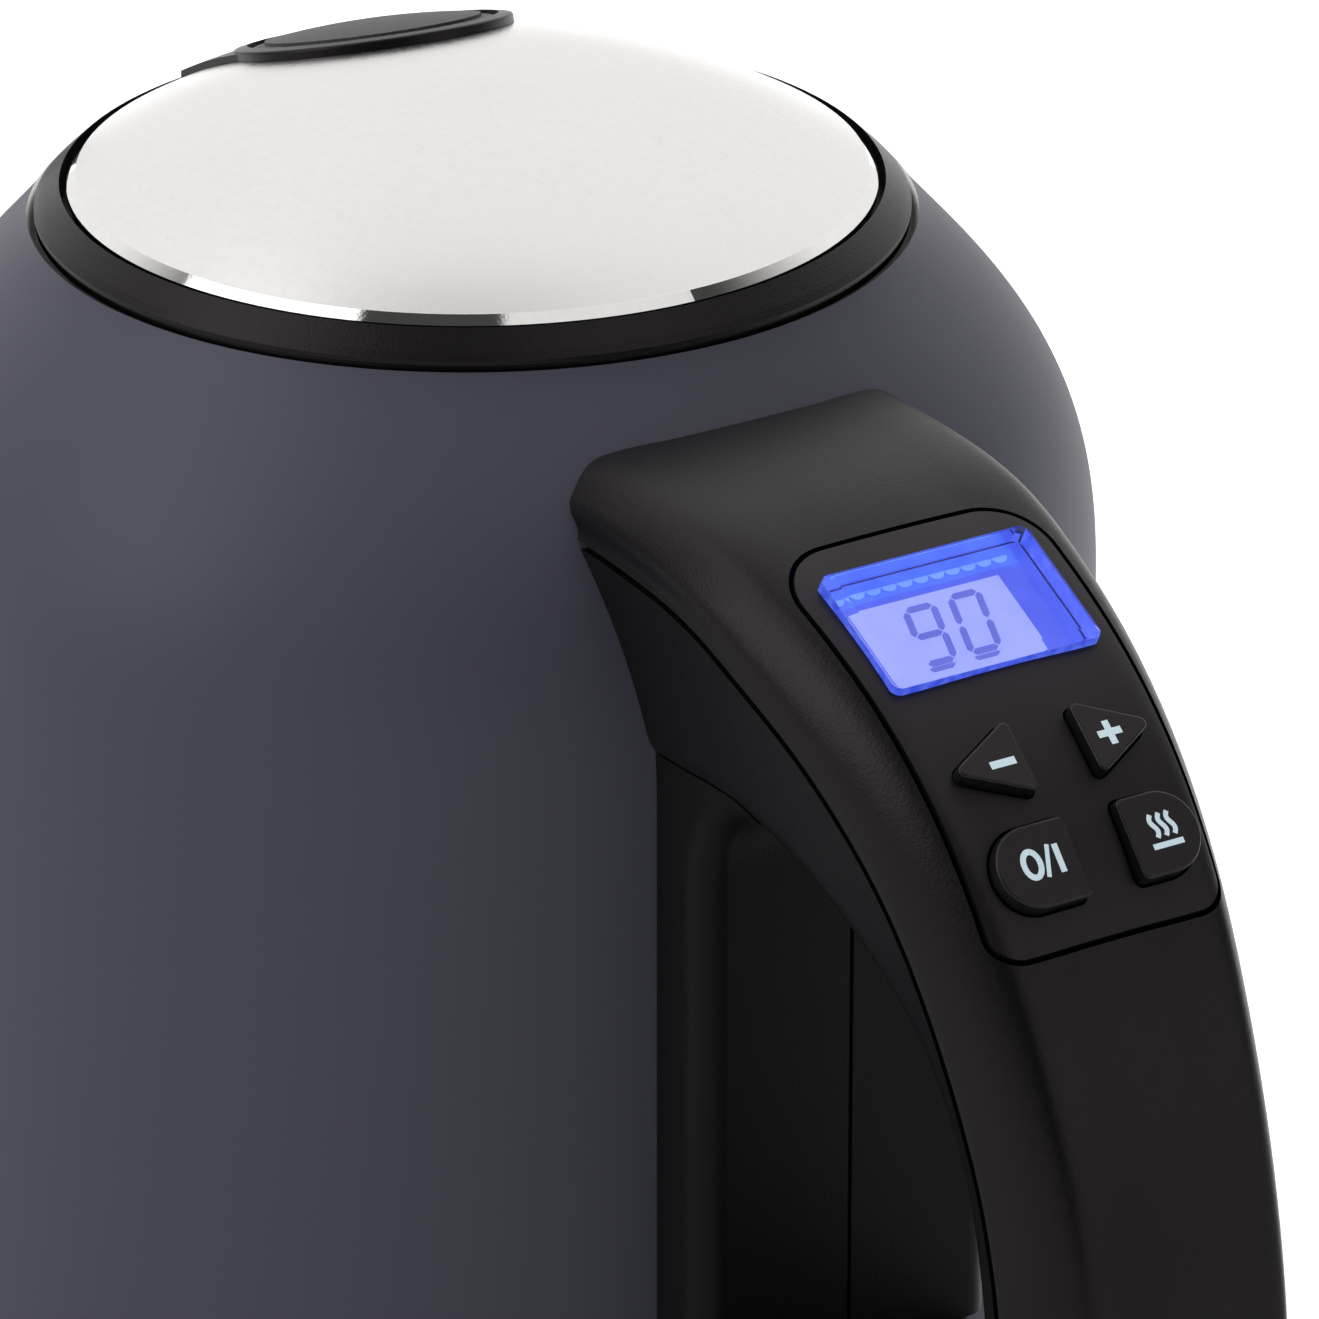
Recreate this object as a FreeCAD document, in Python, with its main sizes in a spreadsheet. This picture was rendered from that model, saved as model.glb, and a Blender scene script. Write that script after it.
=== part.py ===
import FreeCAD, Part
import Sketcher
import math
import os

# Cordless electric pour-over kettle: painted steel body with a gooseneck spout,
# a lift-off domed lid, a looped handle that carries a display and four keys,
# and a round power base on which the kettle swivels.
# Frame: origin at the centre of the base's underside, +Z up,
# +X towards the handle, -X towards the spout. Millimetres.

V = FreeCAD.Vector
doc = FreeCAD.newDocument("kettle")
sheet = doc.addObject("Spreadsheet::Sheet", "dims")

DIMS = [
    # overall
    ("rim_z", 156.0), ("kettle_z", 20.3), ("body_rad", 69.84), ("body_wall", 0.9),
    ("shoulder_z", -50.094), ("neck_rad", 49.303), ("neck_z", -3.9),
    ("shoulder_p", 2.903), ("shoulder_q", 0.775), ("shell_low_z", 26.0),
    # lid
    ("dome_rad", 45.0), ("dome_rise", 12.6), ("dome_wall", 0.8),
    ("liner_rad", 43.4), ("seal_rad", 43.85), ("lid_gap", 0.8),
    ("grip_x", -26.2), ("grip_z", 8.90), ("grip_tilt", 17.6), ("grip_turn", -6.6),
    ("grip_rad", 15.9), ("grip_pocket", 14.3), ("plate_rad", 12.3), ("grip_thick", 1.05),
    ("grip_half", 17.5),
    # rim collar
    ("collar_in", 45.8), ("collar_out", 48.65), ("collar_bore", 44.2),
    # power base
    ("base_rad", 74.0), ("base_top", 20.0), ("base_wall", 2.2), ("foot_rad", 6.5), ("foot_thick", 1.6),
    ("foot_ring", 58.0), ("post_rad", 11.5), ("post_top", 30.0), ("post_gap", 0.35),
    # bottom
    ("floor_z", 37.0), ("floor_thick", 1.2), ("heater_ring", 46.0), ("heater_rad", 3.4),
    # spout
    ("spout_rad", 6.6), ("spout_bore", 5.6), ("spout_root_z", 60.0), ("spout_reach", 152.0),
    # handle
    ("handle_wall", 2.3), ("seam_gap", 0.8), ("spine_half", 19.3), ("spine_u", 76.0),
    ("panel_top", 15.9), ("panel_low", 14.2), ("panel_groove", 0.6), ("panel_thick", 2.2),
    ("lens_half", 13.0), ("lens_long", 16.3), ("lens_proud", 1.6),
    ("key_gap", 0.35), ("key_proud", 1.4), ("key_travel", 0.8),
]
for i, (alias, value) in enumerate(DIMS):
    sheet.set("A%d" % (i + 1), alias)
    sheet.set("B%d" % (i + 1), repr(value))
    sheet.setAlias("B%d" % (i + 1), alias)
doc.recompute()


def P(alias):
    return float(sheet.get(alias))


def num(c):
    if isinstance(c, str):
        return P(c)
    if isinstance(c, tuple):
        return sum(num(k) for k in c)
    return float(c)


def expr(c):
    if isinstance(c, str):
        return "dims." + c
    if isinstance(c, tuple):
        return " + ".join("(%s)" % expr(k) for k in c)
    return repr(float(c))


NODES = []


def keep(obj, label):
    obj.Label = label
    NODES.append(obj)
    return obj


def rev_body(label, pts, register=True):
    """Solid of revolution about Z. A point is (radius, z) or
    (radius, z, arc_radius, side): the edge that leaves it is then an arc,
    side +1 bulging to the right of the way it runs and -1 to the left."""
    body = doc.addObject("PartDesign::Body", label)
    sk = body.newObject("Sketcher::SketchObject", label + "_profile")
    plane = [f for f in body.Origin.OriginFeatures if f.Role == "XZ_Plane"][0]
    sk.AttachmentSupport = [(plane, "")]
    sk.MapMode = "FlatFace"
    n = len(pts)
    xy = [V(num(p[0]), num(p[1]), 0) for p in pts]
    head, tail = [], []
    for i in range(n):
        a, b = xy[i], xy[(i + 1) % n]
        if len(pts[i]) == 4:
            rad, side = num(pts[i][2]), pts[i][3]
            d = b - a
            left = V(-d.y, d.x, 0) / d.Length
            cen = (a + b) / 2 + left * (side * math.sqrt(max(rad * rad - d.Length ** 2 / 4, 0)))
            s, e = (a, b) if side > 0 else (b, a)
            a1 = math.atan2(s.y - cen.y, s.x - cen.x)
            a2 = math.atan2(e.y - cen.y, e.x - cen.x)
            if a2 < a1:
                a2 += 2 * math.pi
            sk.addGeometry(Part.ArcOfCircle(Part.Circle(cen, V(0, 0, 1), rad), a1, a2), False)
            head.append(1 if side > 0 else 2)
            tail.append(2 if side > 0 else 1)
        else:
            sk.addGeometry(Part.LineSegment(a, b), False)
            head.append(1)
            tail.append(2)
    cons = []
    exps = []
    for i in range(n):
        j = (i + 1) % n
        cons.append(Sketcher.Constraint("Coincident", i, tail[i], j, head[j]))
        exps.append(None)
    for i in range(n):
        x, z = pts[i][0], pts[i][1]
        if num(x) == 0:
            cons.append(Sketcher.Constraint("PointOnObject", i, head[i], -2))
            exps.append(None)
        else:
            cons.append(Sketcher.Constraint("DistanceX", -1, 1, i, head[i], num(x)))
            exps.append(expr(x))
        if num(z) == 0:
            cons.append(Sketcher.Constraint("PointOnObject", i, head[i], -1))
            exps.append(None)
        else:
            cons.append(Sketcher.Constraint("DistanceY", -1, 1, i, head[i], num(z)))
            exps.append(expr(z))
        if len(pts[i]) == 4:
            cons.append(Sketcher.Constraint("Radius", i, num(pts[i][2])))
            exps.append(expr(pts[i][2]))
    first = sk.ConstraintCount
    sk.addConstraint(cons)
    for k, ex in enumerate(exps):
        if ex is not None and "dims." in ex:
            sk.setExpression("Constraints[%d]" % (first + k), ex)
    doc.recompute()
    rev = body.newObject("PartDesign::Revolution", label + "_turn")
    rev.Profile = sk
    rev.ReferenceAxis = (sk, ["V_Axis"])
    rev.Angle = 360.0
    body.Tip = rev
    doc.recompute()
    if register:
        keep(body, label)
    return body


def plane_of(body, role):
    return [f for f in body.Origin.OriginFeatures if f.Role == role][0]


def feat(label, shape):
    f = doc.addObject("Part::Feature", label)
    where = shape.Placement
    f.Shape = shape
    f.Placement = where
    return keep(f, label)


def cyl(r, z0, z1, x=0.0, y=0.0):
    return Part.makeCylinder(r, z1 - z0, V(x, y, z0))


def prism(outline, origin, e1, e2, normal, lo, hi):
    """Closed outline (list of edges in the e1, e2 plane through origin), extruded along normal."""
    m = FreeCAD.Matrix(e1.x, e2.x, normal.x, origin.x,
                       e1.y, e2.y, normal.y, origin.y,
                       e1.z, e2.z, normal.z, origin.z, 0, 0, 0, 1)
    face = Part.Face(Part.Wire(Part.__sortEdges__(outline)))
    solid = face.extrude(V(0, 0, hi - lo))
    solid.translate(V(0, 0, lo))
    return place(solid, m)


def place(shape, m):
    s = shape.copy()
    s.Placement = FreeCAD.Placement(m).multiply(shape.Placement)
    return s


def rounded(points, radii):
    """Closed polygon with rounded corners, as edges in the XY plane."""
    n = len(points)
    starts, ends, arcs = [], [], []
    for i in range(n):
        p = V(points[i][0], points[i][1], 0)
        a = V(points[i - 1][0], points[i - 1][1], 0) - p
        b = V(points[(i + 1) % n][0], points[(i + 1) % n][1], 0) - p
        a.normalize()
        b.normalize()
        ang = math.acos(max(-1, min(1, a.dot(b))))
        r = radii[i]
        t = r / math.tan(ang / 2)
        p1, p2 = p + a * t, p + b * t
        bis = a + b
        bis.normalize()
        cen = p + bis * (r / math.sin(ang / 2))
        mid = cen - bis * r
        starts.append(p1)
        ends.append(p2)
        arcs.append(Part.Arc(p1, mid, p2).toShape() if r > 0.01 else None)
    edges = []
    for i in range(n):
        if arcs[i] is not None:
            edges.append(arcs[i])
        q1, q2 = ends[i], starts[(i + 1) % n]
        if (q2 - q1).Length > 1e-4:
            edges.append(Part.LineSegment(q1, q2).toShape())
    return edges


rim = P("rim_z")
Y = V(0, 1, 0)

# ---------------------------------------------------------------- power base
cover = rev_body("base_cover", [
    ("base_rad", 2.0), ("base_rad", 11.0, 7.0, 1), (("base_rad", -5.0), ("base_top", -3.0)),
    (("base_rad", -8.0), ("base_top", -3.0)), (("base_rad", -9.0), "base_top"), ("post_rad", "base_top"),
    ("post_rad", 14.0), (("post_rad", "base_wall"), 14.0),
    (("post_rad", "base_wall"), ("base_top", -2.2)), (("base_rad", -10.0), ("base_top", -2.2)),
    (("base_rad", -9.4), ("base_top", -5.2)), (("base_rad", -6.0), ("base_top", -5.2)),
    (("base_rad", -2.2), 10.4), (("base_rad", -2.2), 2.0)], register=False)
# the coupler runs in the middle: its bore is opened to the running size below
sk = cover.newObject("Sketcher::SketchObject", "cover_bore")
sk.AttachmentSupport = [(plane_of(cover, "XY_Plane"), "")]
sk.MapMode = "FlatFace"
sk.addGeometry(Part.Circle(V(0, 0, 0), V(0, 0, 1), P("post_rad") + P("post_gap")), False)
sk.addConstraint(Sketcher.Constraint("Coincident", 0, 3, -1, 1))
k = sk.addConstraint(Sketcher.Constraint("Radius", 0, P("post_rad") + P("post_gap")))
sk.setExpression("Constraints[%d]" % k, "dims.post_rad + dims.post_gap")
doc.recompute()
bore = cover.newObject("PartDesign::Pocket", "cover_bore_cut")
bore.Profile = sk
bore.Type = 1
bore.Midplane = True
cover.Tip = bore
# cord outlet in the rear wall
sk = cover.newObject("Sketcher::SketchObject", "cord_outlet")
sk.AttachmentSupport = [(plane_of(cover, "YZ_Plane"), "")]
sk.MapMode = "FlatFace"
sk.addGeometry(Part.Circle(V(0, 7.0, 0), V(0, 0, 1), 4.1), False)
sk.addConstraint(Sketcher.Constraint("PointOnObject", 0, 3, -2))
sk.addConstraint(Sketcher.Constraint("DistanceY", -1, 1, 0, 3, 7.0))
sk.addConstraint(Sketcher.Constraint("Radius", 0, 4.1))
doc.recompute()
out = cover.newObject("PartDesign::Pocket", "cord_outlet_cut")
out.Profile = sk
out.Type = 0
out.Length = P("base_rad") + 2
out.setExpression("Length", "dims.base_rad + 2")
out.Reversed = True
cover.Tip = out
doc.recompute()
if not out.Shape.isValid() or out.Shape.Volume > bore.Shape.Volume - 5:
    out.Reversed = False
    doc.recompute()
keep(cover, "base_cover")

plate = rev_body("base_plate", [
    (0, 1.0), (("base_rad", -2.6), 1.0), (("base_rad", -2.6), 4.0), (("base_rad", -5.0), 4.0),
    (("base_rad", -5.0), 3.0), (0, 3.0)], register=False)
feet_at = [(P("foot_ring") * math.cos(math.radians(a)), P("foot_ring") * math.sin(math.radians(a)))
           for a in (45, 135, 225, 315)] + [(0.0, 0.0)]
screw_at = [(52 * math.cos(math.radians(a)), 52 * math.sin(math.radians(a))) for a in (0, 120, 240)]
sk = plate.newObject("Sketcher::SketchObject", "plate_holes")
sk.AttachmentSupport = [(plane_of(plate, "XY_Plane"), "")]
sk.MapMode = "FlatFace"
for x, y in feet_at:
    g = sk.addGeometry(Part.Circle(V(x, y, 0), V(0, 0, 1), 2.6), False)
    sk.addConstraint(Sketcher.Constraint("Radius", g, 2.6))
for x, y in screw_at:
    g = sk.addGeometry(Part.Circle(V(x, y, 0), V(0, 0, 1), 1.8), False)
    sk.addConstraint(Sketcher.Constraint("Radius", g, 1.8))
doc.recompute()
ph = plate.newObject("PartDesign::Pocket", "plate_holes_cut")
ph.Profile = sk
ph.Type = 1
ph.Midplane = True
plate.Tip = ph
keep(plate, "base_plate")

ft, fr = P("foot_thick"), P("foot_rad")
feat("base_feet", Part.makeCompound([
    cyl(fr, 0, 1.0, x, y).fuse(cyl(2.5, 1.0, 4.4, x, y)).removeSplitter() for x, y in feet_at]))
feat("base_screws", Part.makeCompound([
    cyl(3.0, 0.2, 1.0, x, y).fuse(cyl(1.7, 1.0, 12.0, x, y)).removeSplitter() for x, y in screw_at]))
br = P("base_rad")
gl = Part.makeCylinder(2.85, 5.4, V(br - 4.2, 0, 7.0), V(1, 0, 0))
gl = gl.fuse(Part.makeCylinder(3.9, 2.4, V(br - 2.0, 0, 7.0), V(1, 0, 0)))
gl = gl.fuse(Part.makeCylinder(5.2, 1.8, V(br + 0.32, 0, 7.0), V(1, 0, 0)))
gl = gl.cut(Part.makeCylinder(2.1, 16, V(br - 8, 0, 7.0), V(1, 0, 0)))
feat("base_cord_gland", gl.removeSplitter())

# turning coupler: the post that stands up from the base, with its contacts
pr, pt = P("post_rad"), P("post_top")
rev_body("base_coupler", [
    (2.6, 6.0), (("post_rad", 4.0), 6.0), (("post_rad", 4.0), 12.4), ("post_rad", 12.4),
    ("post_rad", ("post_top", -1.5), 1.5, 1), (("post_rad", -1.5), "post_top"),
    (8.2, "post_top"), (8.2, 24.0), (5.4, 24.0), (5.4, ("post_top", -1.0)), (2.6, ("post_top", -1.0))])
rev_body("coupler_contact_pin", [
    (0, 8.0), (2.4, 8.0), (2.4, ("post_top", -0.4)), (1.6, ("post_top", 0.4)), (0, ("post_top", 0.4))])
rev_body("coupler_contact_ring", [
    (7.0, 24.05), (8.1, 24.05), (8.1, ("post_top", -0.6)), (7.0, ("post_top", -0.6))])
rev_body("base_bearing_ring", [
    (("post_rad", 0.4), 3.0), (("post_rad", 6.0), 3.0), (("post_rad", 6.0), 5.6), (("post_rad", 0.4), 5.6)])

# ---------------------------------------------------------------- kettle body


def body_r(zr):
    """Outer radius of the shell at a height relative to the lid's rim plane."""
    R, zm, r0 = P("body_rad"), P("shoulder_z"), P("neck_rad")
    if zr <= zm:
        return R
    t = min((zr - zm) / (-3.5 - zm), 1.0)
    return r0 + (R - r0) * max(1 - t ** P("shoulder_p"), 0) ** (1 / P("shoulder_q"))


zs = [-50.094, -47, -43.5, -40, -36.5, -33, -29.5, -26, -22.5, -19, -15.5, -12, -8.5, -6, P("neck_z")]


def shell_wire(off, z_low, z_top_add=0.0):
    pts = []
    for zr in zs:
        d = 0.05
        s = (body_r(zr + d) - body_r(zr - d)) / (2 * d) if -49 < zr < -4.2 else (0.0 if zr < -10 else -0.74)
        nn = math.hypot(1, s)
        pts.append(V(body_r(zr) + off / nn, 0, rim + zr - s * off / nn))
    c = Part.BSplineCurve()
    c.interpolate(pts)
    return c, pts


wall = P("body_wall")
low = P("shell_low_z")
co, po = shell_wire(0.0, low)
ci, pi_ = shell_wire(-wall, low)
edges = [Part.LineSegment(V(po[0].x, 0, low), po[0]).toShape(), co.toShape(),
         Part.LineSegment(po[-1], pi_[-1]).toShape(), ci.toShape(),
         Part.LineSegment(pi_[0], V(pi_[0].x, 0, low)).toShape(),
         Part.LineSegment(V(pi_[0].x, 0, low), V(po[0].x, 0, low)).toShape()]
shell = Part.Face(Part.Wire(Part.__sortEdges__(edges))).revolve(V(0, 0, 0), V(0, 0, 1), 360)
shell = Part.Solid(shell) if shell.ShapeType != "Solid" else shell

# keep-out for everything that is fixed to the outside of the shell
ck, pk = shell_wire(0.15, low)
edges = [Part.LineSegment(V(0, 0, 0), V(pk[0].x, 0, 0)).toShape(), Part.LineSegment(V(pk[0].x, 0, 0), pk[0]).toShape(),
         ck.toShape(), Part.LineSegment(pk[-1], V(0, 0, pk[-1].z)).toShape(),
         Part.LineSegment(V(0, 0, pk[-1].z), V(0, 0, 0)).toShape()]
keepout = Part.Face(Part.Wire(Part.__sortEdges__(edges))).revolve(V(0, 0, 0), V(0, 0, 1), 360)

sz = P("spout_root_z")
shell = shell.cut(Part.makeCylinder(3.4, 30, V(50, 0, 32.0), V(1, 0, 0)))
for dy, dz in ((0, 0), (4.2, 0), (-4.2, 0), (2.1, 3.6), (-2.1, 3.6), (2.1, -3.6), (-2.1, -3.6)):
    shell = shell.cut(Part.makeCylinder(1.5, 30, V(-50, dy, sz + dz), V(-1, 0, 0)))
feat("body_shell", shell)

rev_body("rim_collar", [
    ("collar_in", ("rim_z", -0.2)), (48.0, ("rim_z", -2.3)),
    ("collar_out", ("rim_z", -3.0)), ("collar_out", ("rim_z", -3.5)), (("neck_rad", -1.3), ("rim_z", -3.8)),
    (("neck_rad", -1.3), ("rim_z", -12.0)), ("collar_bore", ("rim_z", -12.0)),
    ("collar_bore", ("rim_z", -4.2)), ("collar_in", ("rim_z", -4.2))])

rev_body("vessel_floor", [
    (0, "floor_z"), (("body_rad", -0.95), "floor_z"), (("body_rad", -0.95), ("floor_z", "floor_thick")),
    (0, ("floor_z", "floor_thick"))], register=False)
floor_body = doc.getObject("vessel_floor")
sk = floor_body.newObject("Sketcher::SketchObject", "sensor_hole")
sk.AttachmentSupport = [(plane_of(floor_body, "XY_Plane"), "")]
sk.MapMode = "FlatFace"
sk.addGeometry(Part.Circle(V(22, 0, 0), V(0, 0, 1), 3.05), False)
sk.addConstraint(Sketcher.Constraint("Radius", 0, 3.05))
doc.recompute()
sh = floor_body.newObject("PartDesign::Pocket", "sensor_hole_cut")
sh.Profile = sk
sh.Type = 1
sh.Midplane = True
floor_body.Tip = sh
keep(floor_body, "vessel_floor")

fz = P("floor_z")
feat("heat_plate", cyl(56.0, fz - 2.0, fz).cut(cyl(3.05, fz - 4, fz + 1, 22, 0)))
tor = doc.addObject("Part::Torus", "heater_ring")
tor.setExpression("Radius1", "dims.heater_ring")
tor.setExpression("Radius2", "dims.heater_rad")
tor.Placement = FreeCAD.Placement(V(0, 0, fz - 2.05 - P("heater_rad")), FreeCAD.Rotation())
tor.setExpression("Placement.Base.z", "dims.floor_z - 2.05 - dims.heater_rad")
keep(tor, "heater_ring")
feat("temperature_sensor", cyl(3.0, fz - 3.1, fz + 7.0, 22, 0).fuse(
    cyl(5.0, fz + P("floor_thick"), fz + P("floor_thick") + 1.2, 22, 0)).removeSplitter())

rev_body("bottom_cover", [
    (18.4, ("kettle_z", 0)), (("body_rad", -5.0), ("kettle_z", 0)), (("body_rad", -0.9), ("kettle_z", 2.5)),
    (("body_rad", -0.2), ("kettle_z", 4.6)), (("body_rad", -0.2), ("shell_low_z", -0.1)),
    (("body_rad", -1.0), ("shell_low_z", -0.1)), (("body_rad", -1.0), ("shell_low_z", 3.5)),
    (("body_rad", -2.8), ("shell_low_z", 3.5)), (("body_rad", -2.8), ("kettle_z", 2.6)),
    (18.4, ("kettle_z", 2.6))])
rev_body("kettle_connector", [
    (("post_rad", "post_gap"), ("kettle_z", 0.3)), (18.2, ("kettle_z", 0.3)), (18.2, ("kettle_z", 2.7)),
    (21.0, ("kettle_z", 2.7)), (21.0, 33.6), (0, 33.6), (0, 31.9), (("post_rad", "post_gap"), 31.9)])
feat("connector_screws", Part.makeCompound([
    cyl(2.6, P("kettle_z") + 0.5, P("kettle_z") + 2.6, 30 * math.cos(a), 30 * math.sin(a)).fuse(
        cyl(1.4, P("kettle_z") + 2.6, 28.5, 30 * math.cos(a), 30 * math.sin(a))).removeSplitter()
    for a in (math.radians(90), math.radians(210), math.radians(330))]))
bc = doc.getObject("bottom_cover")
sk = bc.newObject("Sketcher::SketchObject", "screw_holes")
sk.AttachmentSupport = [(plane_of(bc, "XY_Plane"), "")]
sk.MapMode = "FlatFace"
for a in (90, 210, 330):
    g = sk.addGeometry(Part.Circle(V(30 * math.cos(math.radians(a)), 30 * math.sin(math.radians(a)), 0),
                                   V(0, 0, 1), 2.7), False)
    sk.addConstraint(Sketcher.Constraint("Radius", g, 2.7))
doc.recompute()
bh = bc.newObject("PartDesign::Pocket", "screw_holes_cut")
bh.Profile = sk
bh.Type = 1
bh.Midplane = True
bc.Tip = bh

# ---------------------------------------------------------------- gooseneck spout
# path in the XZ plane: straight runs joined by tangent arcs


def tangent_path(points, radii):
    segs = []
    last = points[0]
    for i in range(1, len(points) - 1):
        p, a, b = points[i], points[i - 1] - points[i], points[i + 1] - points[i]
        a.normalize()
        b.normalize()
        ang = math.acos(a.dot(b))
        t = radii[i - 1] / math.tan(ang / 2)
        p1, p2 = p + a * t, p + b * t
        bis = a + b
        bis.normalize()
        mid = p + bis * (radii[i - 1] / math.sin(ang / 2) - radii[i - 1])
        segs.append(Part.LineSegment(last, p1).toShape())
        segs.append(Part.Arc(p1, mid, p2).toShape())
        last = p2
    segs.append(Part.LineSegment(last, points[-1]).toShape())
    return Part.Wire(segs)


reach = P("spout_reach")
path_pts = [V(-70.8, 0, sz), V(-113.0, 0, sz + 1.5), V(-131.0, 0, 146.0), V(-reach - 0.6, 0, 152.0)]
path = tangent_path(path_pts, [27.0, 28.0])


def sweep(wire, rad):
    e0 = wire.Edges[0]
    p0 = path_pts[0]
    t = e0.tangentAt(e0.FirstParameter)
    ring = Part.Wire(Part.Circle(p0, t, rad).toShape())
    return wire.makePipeShell([ring], True, False)


tube = sweep(path, P("spout_rad")).cut(sweep(path, P("spout_bore")))
tube = tube.cut(keepout)
tip = Part.makeBox(20, 40, 60, V(-reach - 20, -20, 120))
tube = tube.cut(tip)
feat("spout_tube", tube)
t0 = path_pts[1] - path_pts[0]
t0.normalize()
root = path_pts[0] - t0 * 5.0
socket = Part.makeCone(13.5, P("spout_rad") + 1.3, 14.0, root, t0)
socket = socket.cut(Part.makeCylinder(P("spout_rad") + 0.06, 40, root - t0 * 10, t0)).cut(keepout)
socket = sorted(socket.Solids, key=lambda q: q.Volume)[-1]
feat("spout_socket", socket)

# ---------------------------------------------------------------- handle
# stations along the outer curve: u, z (from the rim plane), half-width at the seam,
# half-width of the flat, seam depth, corner roundness, half-width of the inner face
ST = [
    (46.0, -10.6, 23.0, 15.0, 8.0, 2.0, 19.6), (58.0, -10.65, 23.0, 15.0, 8.2, 2.0, 19.6),
    (70.0, -11.0, 22.9, 15.2, 8.6, 2.0, 19.5), (80.0, -12.4, 22.6, 15.4, 9.0, 1.9, 19.4),
    (90.0, -15.8, 22.0, 15.4, 9.6, 1.8, 19.2), (100.0, -20.5, 21.1, 15.0, 10.0, 1.7, 18.8),
    (110.0, -27.2, 20.1, 14.4, 10.4, 1.6, 18.2), (118.0, -35.0, 19.3, 13.8, 10.4, 1.5, 17.4),
    (124.0, -43.3, 18.6, 13.4, 10.4, 1.45, 16.6), (130.0, -54.5, 17.8, 12.9, 10.4, 1.4, 15.8),
    (134.8, -66.4, 17.2, 12.5, 10.3, 1.35, 15.2), (138.0, -79.0, 17.0, 12.4, 10.2, 1.3, 15.0),
    (139.5, -92.0, 17.0, 12.4, 10.2, 1.3, 15.0), (138.5, -103.0, 17.0, 12.4, 10.2, 1.3, 15.0),
    (134.2, -113.0, 17.0, 12.4, 10.2, 1.3, 15.0), (126.0, -121.0, 17.2, 12.6, 10.0, 1.4, 15.2),
    (115.0, -126.4, 17.6, 12.9, 9.6, 1.5, 15.8), (100.0, -129.3, 18.2, 13.2, 9.0, 1.6, 16.6),
    (84.0, -130.2, 18.9, 13.6, 8.6, 1.7, 17.6), (62.0, -130.2, 19.3, 14.0, 8.4, 1.7, 18.0),
]
INNER = [(40, -42.0), (74.3, -42.0), (89.6, -44.2), (103.6, -51.4), (112.0, -58.3), (117.6, -67.0), (120.6, -77.1),
         (121.9, -84.6), (122.5, -92.0), (121.5, -100.0), (117.5, -107.0), (110.0, -111.5), (98.0, -113.5),
         (76.0, -114.0), (40.0, -114.0)]
oc = Part.BSplineCurve()
oc.interpolate([V(s[0], 0, s[1]) for s in ST])
ic = Part.BSplineCurve()
ic.interpolate([V(p[0], 0, p[1]) for p in INNER[1:-1]])
ip = [V(INNER[0][0], 0, INNER[0][1])] + ic.discretize(160) + [V(INNER[-1][0], 0, INNER[-1][1])]
# even stations along the curve, with the listed widths blended between them
COUNT = 40
run = [oc.length(oc.FirstParameter, oc.parameter(V(q[0], 0, q[1]))) if i else 0.0 for i, q in enumerate(ST)]
slope = [[(ST[min(i + 1, len(ST) - 1)][c] - ST[max(i - 1, 0)][c]) /
          (run[min(i + 1, len(ST) - 1)] - run[max(i - 1, 0)]) for c in range(7)] for i in range(len(ST))]


def blend(dist, c):
    i = max(k for k in range(len(run) - 1) if run[k] <= dist + 1e-9)
    d = run[i + 1] - run[i]
    t = min(max((dist - run[i]) / d, 0.0), 1.0)
    return ((2 * t ** 3 - 3 * t ** 2 + 1) * ST[i][c] + (t ** 3 - 2 * t ** 2 + t) * d * slope[i][c] +
            (3 * t ** 2 - 2 * t ** 3) * ST[i + 1][c] + (t ** 3 - t ** 2) * d * slope[i + 1][c])


even = oc.discretize(COUNT)
ST = [(o.x, o.z) + tuple(blend(run[-1] * i / (COUNT - 1), c) for c in range(2, 7)) for i, o in enumerate(even)]
frames = []
for s in ST:
    o = V(s[0], 0, s[1])
    t = oc.tangent(oc.parameter(o))[0]
    n = V(t.z, 0, -t.x)
    if n.dot(V(92, 0, -75) - o) < 0:
        n = -n
    n.normalize()
    best = None
    for a, b in zip(ip[:-1], ip[1:]):
        # crossing of o + n*d with the stretch a-b
        e = b - a
        den = n.x * e.z - n.z * e.x
        if abs(den) < 1e-9:
            continue
        w = a - o
        d = (w.x * e.z - w.z * e.x) / den
        q = (w.x * n.z - w.z * n.x) / den
        if -0.001 <= q <= 1.001 and d > 4 and (best is None or d < best):
            best = d
    frames.append((o + V(0, 0, rim), n, best))


def bez(pts):
    c = Part.BSplineCurve()
    c.interpolate(pts)
    return c.toShape()


def at(i, v, n):
    o, nn, _ = frames[i]
    return o + nn * n + Y * v


gap = P("seam_gap") / 2
crown = 0.5


hw = P("handle_wall")


def upper_rows(i, inset):
    """Section of the upper shell from seam to seam over the crown, moved in by inset."""
    _, _, ws, wc, ns, k, wi = ST[i]
    ws, wc = ws - inset, wc - 0.45 * inset
    top, low = crown + inset, ns - gap
    half = [(0.0, inset), (wc * 0.35, inset + 0.06), (wc * 0.7, inset + 0.25), (wc, top)]
    for f in (0.2, 0.4, 0.6, 0.8):
        th = f * math.pi / 2
        half.append((wc + (ws - wc) * math.sin(th) ** (2.0 / k), top + (low - top) * (1 - math.cos(th) ** (2.0 / k))))
    half.append((ws, low))
    return [at(i, v, n) for v, n in [(-v, n) for v, n in reversed(half)] + half[1:]]


def lower_rows(i, inset):
    """Section of the lower shell from seam to seam round the inside of the loop, moved in by inset."""
    _, _, ws, wc, ns, k, wi = ST[i]
    T = frames[i][2] - inset
    a = ns + gap
    r = 4.2 - 0.6 * inset
    chain = rounded([(ws - inset, a), (wi - inset, T), (inset - wi, T), (inset - ws, a)], [0, r, r, 0])[:-1]
    return [at(i, q.x, q.y) for q in Part.Wire(chain).discretize(41)]


def skin(rows):
    f = Part.BSplineSurface()
    f.interpolate(rows)
    return f


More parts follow.
